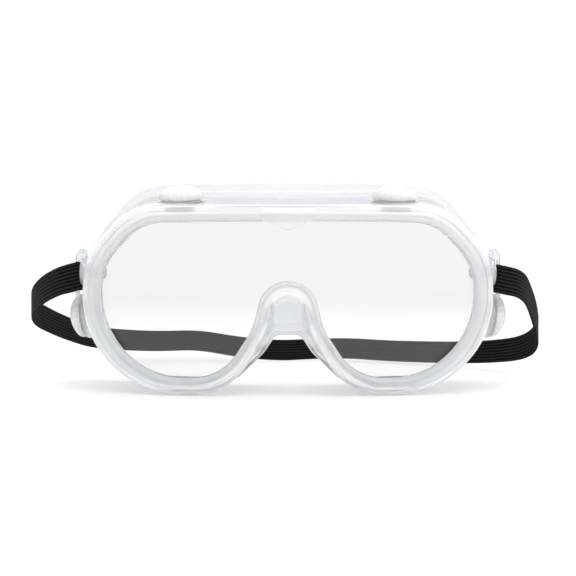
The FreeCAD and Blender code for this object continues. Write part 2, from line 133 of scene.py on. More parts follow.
def smooth_by_angle(obj, degrees):
    """Smooth shading, apart from edges sharper than this."""
    obj.data.shade_smooth()
    obj.data.set_sharp_from_angle(angle=math.radians(degrees))


def boolean(obj, tool, operation):
    """Add a tool object to another one or cut it away, and use the tool up."""
    modifier = obj.modifiers.new("cut", "BOOLEAN")
    modifier.operation = operation
    modifier.solver = "EXACT"
    modifier.object = tool
    apply_modifiers(obj)
    bpy.data.objects.remove(tool)


def joined(name, objects):
    """One object out of several separate ones."""
    mesh = bmesh.new()
    for obj in objects:
        mesh.from_mesh(obj.data)
    data = bpy.data.meshes.new(name)
    mesh.to_mesh(data)
    mesh.free()
    for obj in objects:
        bpy.data.objects.remove(obj)
    return add_object(name, data)


def turned(name, profile, place, segments=96, scallop=None):
    """Surface of revolution about the place's Z: profile is a list of (radius, height)."""
    vertices = []
    for i, (radius, height) in enumerate(profile):
        for k in range(segments):
            angle = 2 * math.pi * k / segments
            r = radius if scallop is None else radius + scallop(i, angle)
            vertices.append(place @ Vector((r * math.cos(angle), r * math.sin(angle), height)))
    faces = grid_faces(len(profile), segments, closed_columns=True)
    first = list(range(segments))
    last = list(range((len(profile) - 1) * segments, len(profile) * segments))
    faces += [tuple(reversed(first)), tuple(last)]
    obj = mesh_piece(name, vertices, faces)
    recalculate(obj)
    return obj


# ---------------------------------------------------------------- headband
STRAP_WIDTH, STRAP_THICKNESS = 12 * MM, 1.25 * MM
STRAP_RIBS, STEPS_PER_RIB = 8, 6
RIB_GROOVE, RIB_FULLNESS = 0.2 * MM, 0.6
SELVEDGE_THINNING, SELVEDGE_SHARPNESS = 0.45, 14
STRAP_STEP, STRAP_END_STEP = 1.5 * MM, 0.4 * MM
STRAP_ROUTE_MM = [
    (88.95, -6.65, 47.5), (94.0, -6.6, 46.5), (99.3, -4.0, 45.4), (104.6, 2.5, 43.0), (110.0, 13.5, 37.6),
    (116.2, 26.0, 28.9), (121.6, 41.0, 19.4), (119.4, 58.0, 12.6), (108.5, 77.0, 9.3), (94.0, 95.0, 7.4),
    (76.0, 110.0, 6.6), (56.0, 119.0, 6.6), (36.0, 128.0, 7.4), (16.0, 131.0, 6.8), (-6.0, 122.0, 6.3),
    (-30.0, 127.0, 8.2), (-54.0, 139.0, 11.6), (-76.0, 131.0, 11.2), (-96.0, 122.0, 12.6),
    (-109.0, 102.0, 15.4), (-115.0, 80.0, 20.4), (-119.5, 58.0, 25.8), (-122.6, 38.0, 31.3),
    (-118.3, 20.0, 36.7), (-109.5, 6.0, 42.2), (-100.0, -3.7, 45.9), (-94.0, -6.6, 47.5),
    (-88.95, -6.65, 48.7),
]
# The end goes round the hook's bar and comes back behind the band: distance from the middle plane, then Y.
STRAP_END_MM = [
    (91.0, -5.85), (90.0, -5.75), (89.65, -5.2), (89.62, -3.0), (89.7, -2.25), (90.3, -2.1), (91.8, -2.1),
    (94.0, -2.1), (97.0, -1.95), (98.8, -1.2), (100.9, 0.6),
]
STRAP_START_X_MM = STRAP_ROUTE_MM[0][0]
STRAP_END_Z_MM = {"left": 48.7, "right": 47.5}
STRAP_END_FALL = {"left": 0.24, "right": 0.20}


def spline_points(points):
    """Points of the smooth line that a NURBS curve draws from these control points."""
    curve = bpy.data.curves.new("route", "CURVE")
    curve.dimensions = "3D"
    curve.resolution_u = 12
    spline = curve.splines.new("NURBS")
    spline.points.add(len(points) - 1)
    for point, place in zip(spline.points, points):
        point.co = (*place, 1)
    spline.order_u = 3
    spline.use_endpoint_u = True
    holder = add_object("route", curve)
    line = bpy.data.meshes.new_from_object(holder)
    result = [v.co.copy() for v in line.vertices]
    bpy.data.objects.remove(holder)
    bpy.data.meshes.remove(line)
    bpy.data.curves.remove(curve)
    return result


def evenly(points, step):
    """The same line with points a constant distance apart."""
    distance = [0.0]
    for a, b in zip(points, points[1:]):
        distance.append(distance[-1] + (b - a).length)
    count = max(2, round(distance[-1] / step))
    wanted = np.linspace(0, distance[-1], count + 1)
    table = np.array([list(p) for p in points])
    return [Vector(p) for p in zip(*(np.interp(wanted, distance, table[:, k]) for k in range(3)))]


def ribbed_section():
    """Points round the band's section, each as its place across the thickness and the width."""
    half_t, half_w = STRAP_THICKNESS / 2, STRAP_WIDTH / 2
    steps = STRAP_RIBS * STEPS_PER_RIB
    face = []
    for i in range(steps + 1):
        across = -1 + 2 * i / steps
        ridge = abs(math.sin(math.pi * STRAP_RIBS * (across + 1) / 2)) ** RIB_FULLNESS
        edge = 1 - abs(across) ** SELVEDGE_SHARPNESS * SELVEDGE_THINNING
        face.append(((half_t - RIB_GROOVE * (1 - ridge)) * edge, across * half_w))
    return face + [(-t, w) for t, w in reversed(face)]


def ribbon(name, path, section):
    """Flat band along a line: its width stays as upright as the line allows."""
    vertices, lengths = [], []
    travelled = 0.0
    up = Vector((0, 0, 1))
    for i, point in enumerate(path):
        ahead = path[min(i + 1, len(path) - 1)]
        behind = path[max(i - 1, 0)]
        along = (ahead - behind).normalized()
        width = (up - along * up.dot(along)).normalized()
        out = width.cross(along).normalized()
        travelled += (point - path[i - 1]).length if i else 0.0
        for thick, wide in section:
            vertices.append(point + out * thick + width * wide)
            lengths.append((travelled, wide))
    columns = len(section)
    faces = grid_faces(len(path), columns, closed_columns=True)
    faces += [tuple(range(columns)), tuple(range((len(path) - 1) * columns, len(path) * columns))]
    obj = mesh_piece(name, vertices, faces)
    layer = obj.data.uv_layers.new(name="length_width")
    for loop in obj.data.loops:
        layer.data[loop.index].uv = lengths[loop.vertex_index]
    recalculate(obj)
    smooth_by_angle(obj, 60)
    return obj


def strap_end(name, side):
    """Folded end of the band, which falls a little towards its tip as the band does."""
    points = []
    for x, y in STRAP_END_MM:
        z = STRAP_END_Z_MM[name] - STRAP_END_FALL[name] * (x - STRAP_START_X_MM)
        points.append(Vector((side * x, y, z)) * MM)
    end = ribbon(f"strap_end_{name}_band", evenly(spline_points(points), STRAP_END_STEP), ribbed_section())
    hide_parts(f"strap_end_{name}")
    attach(end, HEADBAND)
    return end


strap_path = evenly(spline_points([Vector(p) * MM for p in STRAP_ROUTE_MM]), STRAP_STEP)
strap = ribbon("head_strap_band", strap_path, ribbed_section())
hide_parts("head_strap")
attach(strap, HEADBAND)
strap_ends = [strap_end("left", -1), strap_end("right", 1)]


# ---------------------------------------------------------------- material helpers
MIX_FACTOR, MIX_A, MIX_B, MIX_RESULT = 0, 6, 7, 2


def new_material(name, **values):
    """Principled material with its plain values set; returns it with its nodes, links and shader."""
    material = bpy.data.materials.new(name)
    material.use_nodes = True
    nodes, links = material.node_tree.nodes, material.node_tree.links
    shader = nodes["Principled BSDF"]
    for socket, value in values.items():
        shader.inputs[socket.replace("_", " ")].default_value = value
    return material, nodes, links, shader


def coordinates(nodes, kind):
    return nodes.new("ShaderNodeTexCoord").outputs[kind]


def component(nodes, links, vector, axis):
    """One component of a vector."""
    split = nodes.new("ShaderNodeSeparateXYZ")
    links.new(vector, split.inputs["Vector"])
    return split.outputs[axis]


def ramped(nodes, links, value, start, end, low=0.0, high=1.0):
    """Number that goes from low to high while the value goes from start to end."""
    ramp = nodes.new("ShaderNodeMapRange")
    for socket, number in (("From Min", start), ("From Max", end), ("To Min", low), ("To Max", high)):
        ramp.inputs[socket].default_value = number
    links.new(value, ramp.inputs["Value"])
    return ramp.outputs["Result"]


def calculated(nodes, links, operation, value, operand=None):
    """Result of one sum on a value."""
    node = nodes.new("ShaderNodeMath")
    node.operation = operation
    links.new(value, node.inputs[0])
    if operand is not None:
        node.inputs[1].default_value = operand
    return node.outputs["Value"]


def mixed(nodes, links, factor, a, b, blend_type="MIX"):
    """Mix of two colours; the factor and both colours are outputs of nodes or plain values."""
    mix = nodes.new("ShaderNodeMix")
    mix.data_type = "RGBA"
    mix.blend_type = blend_type
    for socket, value in ((MIX_FACTOR, factor), (MIX_A, a), (MIX_B, b)):
        if isinstance(value, bpy.types.NodeSocket):
            links.new(value, mix.inputs[socket])
        else:
            mix.inputs[socket].default_value = value
    return mix.outputs[MIX_RESULT]


def shades(nodes, links, low, high, scale):
    """Soft noise, and a colour that wanders with it between two near shades."""
    noise = nodes.new("ShaderNodeTexNoise")
    noise.inputs["Scale"].default_value = scale
    noise.inputs["Detail"].default_value = 3
    links.new(coordinates(nodes, "Object"), noise.inputs["Vector"])
    ramp = nodes.new("ShaderNodeValToRGB")
    for element, position, shade in zip(ramp.color_ramp.elements, (0.3, 0.7), (low, high)):
        element.position = position
        element.color = (*shade, 1)
    links.new(noise.outputs["Fac"], ramp.inputs["Fac"])
    return noise.outputs["Fac"], ramp.outputs["Color"]


def bumped(nodes, links, shader, height, strength, distance):
    bump = nodes.new("ShaderNodeBump")
    bump.inputs["Strength"].default_value = strength
    bump.inputs["Distance"].default_value = distance
    links.new(height, bump.inputs["Height"])
    links.new(bump.outputs["Normal"], shader.inputs["Normal"])


def shaded(name, low, high, scale, **values):
    """Material whose colour wanders softly between two near shades."""
    material, nodes, links, shader = new_material(name, **values)
    _, colour = shades(nodes, links, low, high, scale)
    links.new(colour, shader.inputs["Base Color"])
    return material


def paint(objects, material):
    for obj in objects:
        obj.data.materials.clear()
        obj.data.materials.append(material)


# ---------------------------------------------------------------- materials
# Painted shade: below the first height the plastic takes its darker colour, and above the second its lighter
# one.
PVC_SHADED_BELOW_Z, PVC_UNSHADED_ABOVE_Z = 12 * MM, 40 * MM
PVC_EDGE_BLEND = 0.35


def soft_pvc(name, low, high, edge, **values):
    """Clear soft plastic: painted shade makes it darker towards the bottom, and its colour changes where it
    is seen edge-on.
    """
    material, nodes, links, shader = new_material(name, **values)
    noise, mottle = shades(nodes, links, (0.975, 0.98, 0.985), (1, 1, 1), 40)
    height = component(nodes, links, coordinates(nodes, "Object"), "Z")
    # Painted shade: the darker low colour at the bottom blends into the lighter high colour at the top.
    rise = ramped(nodes, links, height, PVC_SHADED_BELOW_Z, PVC_UNSHADED_ABOVE_Z)
    body = mixed(nodes, links, rise, (*low, 1), (*high, 1))
    facing = nodes.new("ShaderNodeLayerWeight")
    facing.inputs["Blend"].default_value = PVC_EDGE_BLEND
    tint = mixed(nodes, links, facing.outputs["Facing"], body, (*edge, 1))
    colour = mixed(nodes, links, 1, tint, mottle, "MULTIPLY")
    links.new(colour, shader.inputs["Base Color"])
    bumped(nodes, links, shader, noise, 0.12, 0.4 * MM)
    return material


def rim_pvc():
    """Thick, milky plastic of the rim, the bosses and the lip over the nose."""
    # Painted shade: the first colour is the shaded bottom, the second the lit top, and the third the edge-on
    # tint.
    return soft_pvc("rim_pvc", (0.93, 0.955, 0.97), (0.985, 0.993, 1.0), (0.93, 0.96, 0.985),
                    Roughness=0.18, IOR=1.30, Transmission_Weight=0.66)


def skirt_pvc():
    """Thin, clear plastic of the skirt, bluish where it is seen edge-on."""
    # Painted shade: the first colour is the shaded bottom, the second the lit top, and the third the edge-on
    # tint.
    return soft_pvc("skirt_pvc", (0.94, 0.95, 0.96), (0.955, 0.963, 0.975), (0.62, 0.68, 0.77),
                    Roughness=0.08, IOR=1.28, Transmission_Weight=0.82)


def lens_clear():
    return shaded("lens_clear", (0.845, 0.86, 0.85), (0.865, 0.88, 0.87), 8,
                  Roughness=0.0, IOR=1.47, Transmission_Weight=1.0)


def vent_white():
    return shaded("vent_white", (0.955, 0.96, 0.965), (0.975, 0.978, 0.98), 120,
                  Roughness=0.3, IOR=1.25, Transmission_Weight=0.40)


def hook_clear():
    return shaded("hook_clear", (0.90, 0.93, 0.96), (0.93, 0.95, 0.98), 60,
                  Roughness=0.12, IOR=1.3, Transmission_Weight=0.72)


def elastic():
    """Black yarn with a painted highlight, a paler stripe along each rib's crown, and a fine weave."""
    material, nodes, links, shader = new_material("elastic", Roughness=0.6, Specular_IOR_Level=0.04)
    _, yarn = shades(nodes, links, (0.001, 0.001, 0.0015), (0.004, 0.004, 0.005), 700)
    along = nodes.new("ShaderNodeUVMap")
    along.uv_map = "length_width"
    across = component(nodes, links, along.outputs["UV"], "Y")
    phase = calculated(nodes, links, "MULTIPLY", across, math.pi * STRAP_RIBS / STRAP_WIDTH)
    height = calculated(nodes, links, "ABSOLUTE", calculated(nodes, links, "SINE", phase))
    # Painted highlight: a paler stripe along each rib's crown, where the ribs would catch the light.
    rib_highlight = ramped(nodes, links, height, 0.55, 0.95)
    links.new(mixed(nodes, links, rib_highlight, yarn, (0.022, 0.022, 0.024, 1)), shader.inputs["Base Color"])
    weave = nodes.new("ShaderNodeTexWave")
    weave.bands_direction = "X"
    weave.inputs["Scale"].default_value = 900
    weave.inputs["Distortion"].default_value = 1.5
    links.new(along.outputs["UV"], weave.inputs["Vector"])
    bumped(nodes, links, shader, weave.outputs["Fac"], 0.5, 0.2 * MM)
    return material


def pale_floor():
    return shaded("pale_floor", (0.56, 0.56, 0.56), (0.58, 0.58, 0.58), 2,
                  Roughness=0.9, Emission_Color=(1, 1, 1, 1), Emission_Strength=0.33)


# ---------------------------------------------------------------- outlines of the soft body, front view
# Right halves, clockwise from the top: X, Z and radius of each corner.
RIM_MM = [(64.6, 76.6, 28), (85.7, 54.7, 30), (85.7, 0, 42), (24.2, 0, 28), (8.4, 24.4, 30), (4.7, 39.9, 5.8)]
SKIRT_REAR_MM = [(68.0, 90.5, 29), (89.6, 62.0, 35), (89.6, 1.4, 31), (29.0, 1.4, 24), (14.0, 10.0, 18),
                 (8.0, 13.4, 5)]
LIP_MM = [(68.5, 90.2, 29), (95.0, 62.0, 39), (95.0, 0, 34), (25.0, 0, 16), (10.5, 14.5, 16), (5.6, 22.0, 4)]
# Width of the rim's band on each edge of the whole outline, and how finely arcs and edges are divided.
BAND_MM = [7.4, 8.0, 6.8, 6.2, 6.2, 6.2, 6.2, 6.2, 6.8, 8.0, 7.4, 6.4]
ARC_STEPS = [12, 10, 26, 16, 6, 12]
EDGE_STEPS = [4, 2, 4, 6, 5, 3, 5, 6, 4, 2, 4, 40]

LENS_CURVE, FACE_CURVE = 251 * MM, 187 * MM
SKIRT_DEPTH, SKIRT_WALL = 42 * MM, 2.0 * MM
RIM_THICKNESS, BEAD_INSET = 8 * MM, 1.2 * MM
LENS_SETBACK, LENS_THICKNESS, LENS_TUCK, LENS_PLAY = 3 * MM, 2 * MM, 3 * MM, 0.12 * MM
LENS_AXIS_Y = FRONT_Y + LENS_CURVE
FACE_AXIS_Y = FRONT_Y + SKIRT_DEPTH + FACE_CURVE


def closed(right_half):
    """A whole clockwise loop of (x, z, radius) from its right half, in metres."""
    left_half = [(-x, z, r) for x, z, r in reversed(right_half)]
    return [tuple(value * MM for value in corner) for corner in right_half + left_half]


def moved_in(corners, insets):
    """The loop with each of its edges moved inwards by an inset of its own."""
    lines = []
    count = len(corners)
    for i, (x, z, _) in enumerate(corners):
        next_x, next_z, _ = corners[(i + 1) % count]
        run = math.hypot(next_x - x, next_z - z)
        dx, dz = (next_x - x) / run, (next_z - z) / run
        lines.append((x + dz * insets[i], z - dx * insets[i], dx, dz))
    result = []
    for i, (_, _, radius) in enumerate(corners):
        ax, az, adx, adz = lines[i - 1]
        bx, bz, bdx, bdz = lines[i]
        turn = adx * bdz - adz * bdx
        along = ((bx - ax) * bdz - (bz - az) * bdx) / turn
        inset = (insets[i - 1] + insets[i]) / 2
        new_radius = radius - inset if turn < 0 else radius + inset
        result.append((ax + adx * along, az + adz * along, new_radius))
    return result


def corner_arc(before, corner, after, steps):
    """Points round one corner: an arc that touches the edges to its neighbours."""
    place, radius = np.array(corner[:2]), corner[2]
    arriving = place - np.array(before[:2])
    leaving = np.array(after[:2]) - place
    arriving, leaving = arriving / np.linalg.norm(arriving), leaving / np.linalg.norm(leaving)
    half_turn = math.acos(max(-1, min(1, arriving @ leaving))) / 2
    to_centre = (leaving - arriving) / np.linalg.norm(leaving - arriving)
    centre = place + to_centre * radius / math.cos(half_turn)
    spoke = place - arriving * radius * math.tan(half_turn) - centre
    clockwise = arriving[0] * leaving[1] - arriving[1] * leaving[0] < 0
    arc = []
    for k in range(steps + 1):
        a = (-2 if clockwise else 2) * half_turn * k / steps
        arc.append(centre + np.array((spoke[0] * math.cos(a) - spoke[1] * math.sin(a),
                                      spoke[0] * math.sin(a) + spoke[1] * math.cos(a))))
    return arc


def loop_points(corners):
    """Points round a loop of rounded corners, always the same number in the same order."""
    count = len(corners)
    arcs = [corner_arc(corners[i - 1], corners[i], corners[(i + 1) % count], steps)
            for i, steps in enumerate(ARC_STEPS + ARC_STEPS[::-1])]
    points = []
    for i, (arc, steps) in enumerate(zip(arcs, EDGE_STEPS)):
        following = arcs[(i + 1) % count][0]
        points += arc
        points += [arc[-1] + (following - arc[-1]) * k / steps for k in range(1, steps)]
    return np.array(points)


RIM = closed(RIM_MM)
BAND = np.array(BAND_MM) * MM
EVERY_EDGE = np.ones(len(RIM))
SKIRT_FRONT = moved_in(RIM, EVERY_EDGE * BEAD_INSET)
SKIRT_REAR = closed(SKIRT_REAR_MM)
LIP = loop_points(closed(LIP_MM))
NOSE_HALF, NOSE_TOP = 22 * MM, 46 * MM
NOSE_LIP_SHARE = 0.4


def rim_loop(share):
    """Outline on the rim's band: share 0 is its outer edge and 1 the lens opening."""
    return loop_points(moved_in(RIM, BAND * share))


def on_lens_curve(outline, depth):
    """Give an outline its place in depth, measured back from the rim's front."""
    y = LENS_AXIS_Y - np.sqrt((LENS_CURVE - depth) ** 2 - outline[:, 0] ** 2)
    return np.column_stack((outline[:, 0], y, outline[:, 1]))


def on_face_curve(outline, forward):
    """Give an outline its place on the face side, measured forward from the face."""
    y = FACE_AXIS_Y - np.sqrt((FACE_CURVE + forward) ** 2 - outline[:, 0] ** 2)
    return np.column_stack((outline[:, 0], y, outline[:, 1]))


def skirt_loop(inset, share):
    """Loop on the skirt: share 0 is just behind the rim and 1 at the face."""
    front = loop_points(moved_in(SKIRT_FRONT, EVERY_EDGE * inset))
    rear = loop_points(moved_in(SKIRT_REAR, EVERY_EDGE * inset))
    along = np.full(len(front), 0.4)
    for _ in range(8):  # its outline depends on its depth and its depth on its outline, so both settle
        outline = front + (rear - front) * along[:, None]
        y_front = on_lens_curve(outline, RIM_THICKNESS)[:, 1]
        y_rear = on_face_curve(outline, 0)[:, 1]
        y = y_front + (y_rear - y_front) * share
        along = (y - FRONT_Y) / DEPTH
    return np.column_stack((outline[:, 0], y, outline[:, 1]))


def bead_loop(share, depth):
    """Loop on the rim's side, moved out to the skirt where that already stands proud of it."""
    outline, outward = rim_loop(share), rim_loop(0) - rim_loop(1)
    front, rear = loop_points(SKIRT_FRONT), loop_points(SKIRT_REAR)
    along = (on_lens_curve(outline, depth)[:, 1] - FRONT_Y) / DEPTH
    skirt = front + (rear - front) * along[:, None]
    proud = ((skirt - outline) * outward).sum(axis=1) > 0
    return on_lens_curve(np.where(proud[:, None], skirt, outline), depth)


def lip_loop(share, forward):
    """Loop on the lip, which is thinner near the nose: share 0 is at the skirt and 1 at its edge."""
    base = skirt_loop(0, 1)[:, ::2]
    outline = base + (LIP - base) * share
    from_nose = np.maximum(np.abs(outline[:, 0]) / NOSE_HALF, outline[:, 1] / NOSE_TOP)
    thinned = NOSE_LIP_SHARE + (1 - NOSE_LIP_SHARE) * np.clip(2 * from_nose - 1, 0, 1)
    return on_face_curve(outline, forward * thinned)


# ---------------------------------------------------------------- skin of the soft body
# Rows on the rim: share of the way across its band, then depth in mm behind its front.
RIM_FACE_ROWS = [
    (1.0, 2.2), (1.0, 1.2), (0.985, 0.6), (0.94, 0.2), (0.88, 0.03), (0.82, 0.0), (0.73, 0.0),
    (0.70, 0.3), (0.60, 0.34), (0.50, 0.34), (0.42, 0.32), (0.36, 0.28),
    (0.33, 0.0), (0.22, 0.0), (0.12, 0.06), (0.05, 0.35), (0.015, 0.8),
]
RIM_SIDE_ROWS = [(0.0, 1.5), (0.0, 4.0), (0.0, 6.4), (0.02, 7.2), (0.07, 7.8), (0.13, 8.0)]
RIM_BACK_ROWS = [(0.55, 8.0), (0.8, 8.0), (0.93, 7.9), (0.98, 7.5), (1.0, 7.0), (1.0, 5.2)]
# Rows on the skirt: share of the way from the rim to the face.
SKIRT_OUTER_ROWS = [0.03, 0.08, 0.2, 0.35, 0.5, 0.65, 0.78, 0.87]
SKIRT_INNER_ROWS = [0.8, 0.65, 0.5, 0.35, 0.2, 0.08, 0.02]
# Rows on the lip: share of the way out to its edge, then how far in mm it stands forward of the face.
LIP_ROWS = [
    (0.06, 4.6), (0.16, 3.2), (0.32, 2.5), (0.55, 2.25), (0.8, 2.15), (0.93, 1.9), (0.99, 1.5), (1.0, 1.05),
    (0.99, 0.6), (0.93, 0.22), (0.8, 0.04), (0.5, 0.0), (0.1, 0.0),
]
# Rows where the lip turns into the mask: inset from the skirt's outside in mm, then share as on the skirt.
LIP_TURN_ROWS = [(0.8, 0.995), (1.6, 0.985), (2.0, 0.95)]


def soft_body():
    """One closed skin: over the rim, back along the skirt, round the lip and forward inside."""
    groove_share = 1 - LENS_TUCK / BAND.mean()
    groove_front, groove_rear = LENS_SETBACK - LENS_PLAY, LENS_SETBACK + LENS_THICKNESS + LENS_PLAY
    rows = [on_lens_curve(rim_loop(share), depth * MM) for share, depth in RIM_FACE_ROWS]
    rows += [bead_loop(share, depth * MM) for share, depth in RIM_SIDE_ROWS]
    first_skirt_row = len(rows)
    rows += [skirt_loop(0, share) for share in SKIRT_OUTER_ROWS]
    first_lip_row = len(rows)
    rows += [lip_loop(share, forward * MM) for share, forward in LIP_ROWS]
    last_lip_row = len(rows)
    rows += [skirt_loop(inset * MM, share) for inset, share in LIP_TURN_ROWS]
    rows += [skirt_loop(SKIRT_WALL, share) for share in SKIRT_INNER_ROWS]
    last_skirt_row = len(rows) - 1
    rows += [on_lens_curve(rim_loop(share), depth * MM) for share, depth in RIM_BACK_ROWS]
    for share, depth in ((groove_share, groove_rear), (groove_share, groove_front), (1, groove_front)):
        rows.append(on_lens_curve(rim_loop(share), depth))
    count = len(rows[0])
    vertices = [Vector(p) for row in rows for p in row]
    obj = mesh_piece("mask_skin", vertices, grid_faces(len(rows), count, True, True))
    for polygon in obj.data.polygons:
        row = polygon.index // count
        on_skirt = first_skirt_row <= row < last_skirt_row
        on_lip = first_lip_row <= row < last_lip_row
        on_nose = abs(polygon.center.x) < NOSE_HALF and polygon.center.z < NOSE_TOP
        polygon.material_index = int(on_skirt and not (on_lip and on_nose))
    recalculate(obj)
    return obj


# ---------------------------------------------------------------- where the vents and hooks sit
TOP_VENT_X, TOP_VENT_Y, TOP_VENT_LIFT = 45.3 * MM, -11 * MM, 0.1 * MM
TOP_WALL_FRONT_Z, TOP_WALL_REAR_Z = 75.4 * MM, 90.5 * MM
SIDE_VENT = Vector((90.3, 8, 31)) * MM
SIDE_VENT_TILT = math.radians(96)
HOOK_PAD_X = 87.45 * MM


def vent_places():
    """Name and frame of each vent; the frame's Z points out of the wall."""
    rise = TOP_WALL_REAR_Z - TOP_WALL_FRONT_Z
    wall_z = TOP_WALL_FRONT_Z + rise * (TOP_VENT_Y - FRONT_Y) / DEPTH
    for name, side in (("left", -1), ("right", 1)):
        yield f"top_{name}", (Matrix.Translation((side * TOP_VENT_X, TOP_VENT_Y, wall_z + TOP_VENT_LIFT))
                              @ Matrix.Rotation(math.atan2(rise, DEPTH), 4, "X"))
        yield f"side_{name}", (Matrix.Translation((side * SIDE_VENT.x, SIDE_VENT.y, SIDE_VENT.z))
                               @ Matrix.Rotation(side * SIDE_VENT_TILT, 4, "Y"))


def hook_places():
    """Frame of each hook's pad, on its face and the pivot line, whose Z points outwards."""
    for side in (-1, 1):
        yield (Matrix.Translation((side * HOOK_PAD_X, PIVOT.y, PIVOT.z))
               @ Matrix.Rotation(side * math.pi / 2, 4, "Y"))


# ---------------------------------------------------------------- mask
CREST_OUTER_MM = [(-11.4, 75.7), (11.4, 75.7), (10.2, 70.6), (0, 66.2), (-10.2, 70.6)]
CREST_INNER_MM = [(-7.0, 73.8), (5.4, 73.8), (5.0, 71.8), (-0.6, 68.8), (-6.0, 71.8)]
CREST_ROOT, CREST_EDGE = 2.5 * MM, 0.25 * MM
BOSS_RADIUS, TOP_BOSS_DEPTH, SIDE_BOSS_DEPTH = 10.2 * MM, 1.2 * MM, 5.5 * MM
PAD_RADIUS, PAD_DEPTH, PAD_EASE = 7.0 * MM, 4.2 * MM, 0.4 * MM
VENT_HOLE, PIVOT_BORE = 6.5 * MM, 2.55 * MM
CUT_IN, CUT_OUT = 12 * MM, 3 * MM


def crest():
    """Small faceted shield in the middle of the rim's upper band."""
    vertices = []
    for outline, y in ((CREST_OUTER_MM, FRONT_Y + CREST_ROOT), (CREST_OUTER_MM, FRONT_Y + CREST_EDGE),
                       (CREST_INNER_MM, FRONT_Y - CREST_PROUD)):
        vertices += [Vector((x * MM, y, z * MM)) for x, z in outline]
    count = len(CREST_OUTER_MM)
    faces = [tuple(range(count)), tuple(range(2 * count, 3 * count))]
    faces += grid_faces(3, count, closed_columns=True)
    obj = mesh_piece("crest", vertices, faces, smooth=False)
    recalculate(obj)
    return obj


def vent_boss(name, place):
    depth = TOP_BOSS_DEPTH if name.startswith("top") else SIDE_BOSS_DEPTH
    profile = [(BOSS_RADIUS, -depth), (BOSS_RADIUS, -0.5 * MM), (BOSS_RADIUS - 0.15 * MM, -0.15 * MM),
               (BOSS_RADIUS - 0.5 * MM, 0)]
    return turned(f"boss_{name}", profile, place)


def hook_pad(place):
    profile = [(PAD_RADIUS, -PAD_DEPTH), (PAD_RADIUS, -PAD_EASE), (PAD_RADIUS - PAD_EASE, 0)]
    return turned("pad", profile, place)


def drill(name, radius, place, segments):
    return turned(name, [(radius, -CUT_IN), (radius, CUT_OUT)], place, segments)


def mask():
    """The soft body with its crest, its bosses and pads, and the holes through them."""
    rim_finish, skirt_finish = rim_pvc(), skirt_pvc()
    skin = soft_body()
    skin.data.materials.append(rim_finish)
    skin.data.materials.append(skirt_finish)
    added = [crest()]
    added += [vent_boss(name, place) for name, place in vent_places()]
    added += [hook_pad(place) for place in hook_places()]
    union = joined("added", added)
    union.data.materials.append(rim_finish)
    boolean(skin, union, "UNION")
    removed = [drill(f"hole_{name}", VENT_HOLE, place, 96) for name, place in vent_places()]
    removed += [drill("bore", PIVOT_BORE, place, 48) for place in hook_places()]
    boolean(skin, joined("removed", removed), "DIFFERENCE")
    smooth_by_angle(skin, 38)
    return skin


mask_piece = mask()
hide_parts("mask_body")
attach(mask_piece, GOGGLE)

# ---------------------------------------------------------------- lens
LENS_STEPS = 260


def lens():
    """Curved plate in the rim's groove, built of upright slices from side to side."""
    outline = loop_points(moved_in(RIM, BAND - LENS_TUCK))
    left, right = int(np.argmin(outline[:, 0])), int(np.argmax(outline[:, 0]))
    count = len(outline)
    upper = outline[[(left + k) % count for k in range((right - left) % count + 1)]]
    lower = outline[[(right + k) % count for k in range((left - right) % count + 1)]][::-1]
    half_width = outline[:, 0].max()
    front_curve = LENS_CURVE - LENS_SETBACK
    vertices = []
    for i in range(1, LENS_STEPS):
        x = half_width * math.sin(math.pi / 2 * (2 * i / LENS_STEPS - 1))
        high = np.interp(x, upper[:, 0], upper[:, 1])
        low = np.interp(x, lower[:, 0], lower[:, 1])
        front = LENS_AXIS_Y - math.sqrt(front_curve ** 2 - x ** 2)
        rear = LENS_AXIS_Y - math.sqrt((front_curve - LENS_THICKNESS) ** 2 - x ** 2)
        vertices += [(x, front, low), (x, front, high), (x, rear, high), (x, rear, low)]
    slices = LENS_STEPS - 1
    faces = grid_faces(slices, 4, closed_columns=True)
    faces += [(0, 1, 2, 3), tuple(4 * (slices - 1) + k for k in range(4))]
    obj = mesh_piece("lens_sheet", vertices, faces)
    recalculate(obj)
    smooth_by_angle(obj, 40)
    return obj


lens_piece = lens()
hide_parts("lens")
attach(lens_piece, GOGGLE)

# ---------------------------------------------------------------- vents, hooks and rivets
VENT_RADIUS, VENT_HEIGHT, VENT_GAP, VENT_SHELL = 9.6 * MM, 6.6 * MM, 0.8 * MM, 1.3 * MM
VENT_DOME, VENT_EDGE = 14.0 * MM, 3.2 * MM
VENT_STEM, VENT_NECK = 2.0 * MM, 3.0 * MM
VENT_RIBS, VENT_RIB_DEPTH, FIRST_RIBBED = 28, 0.18 * MM, 7


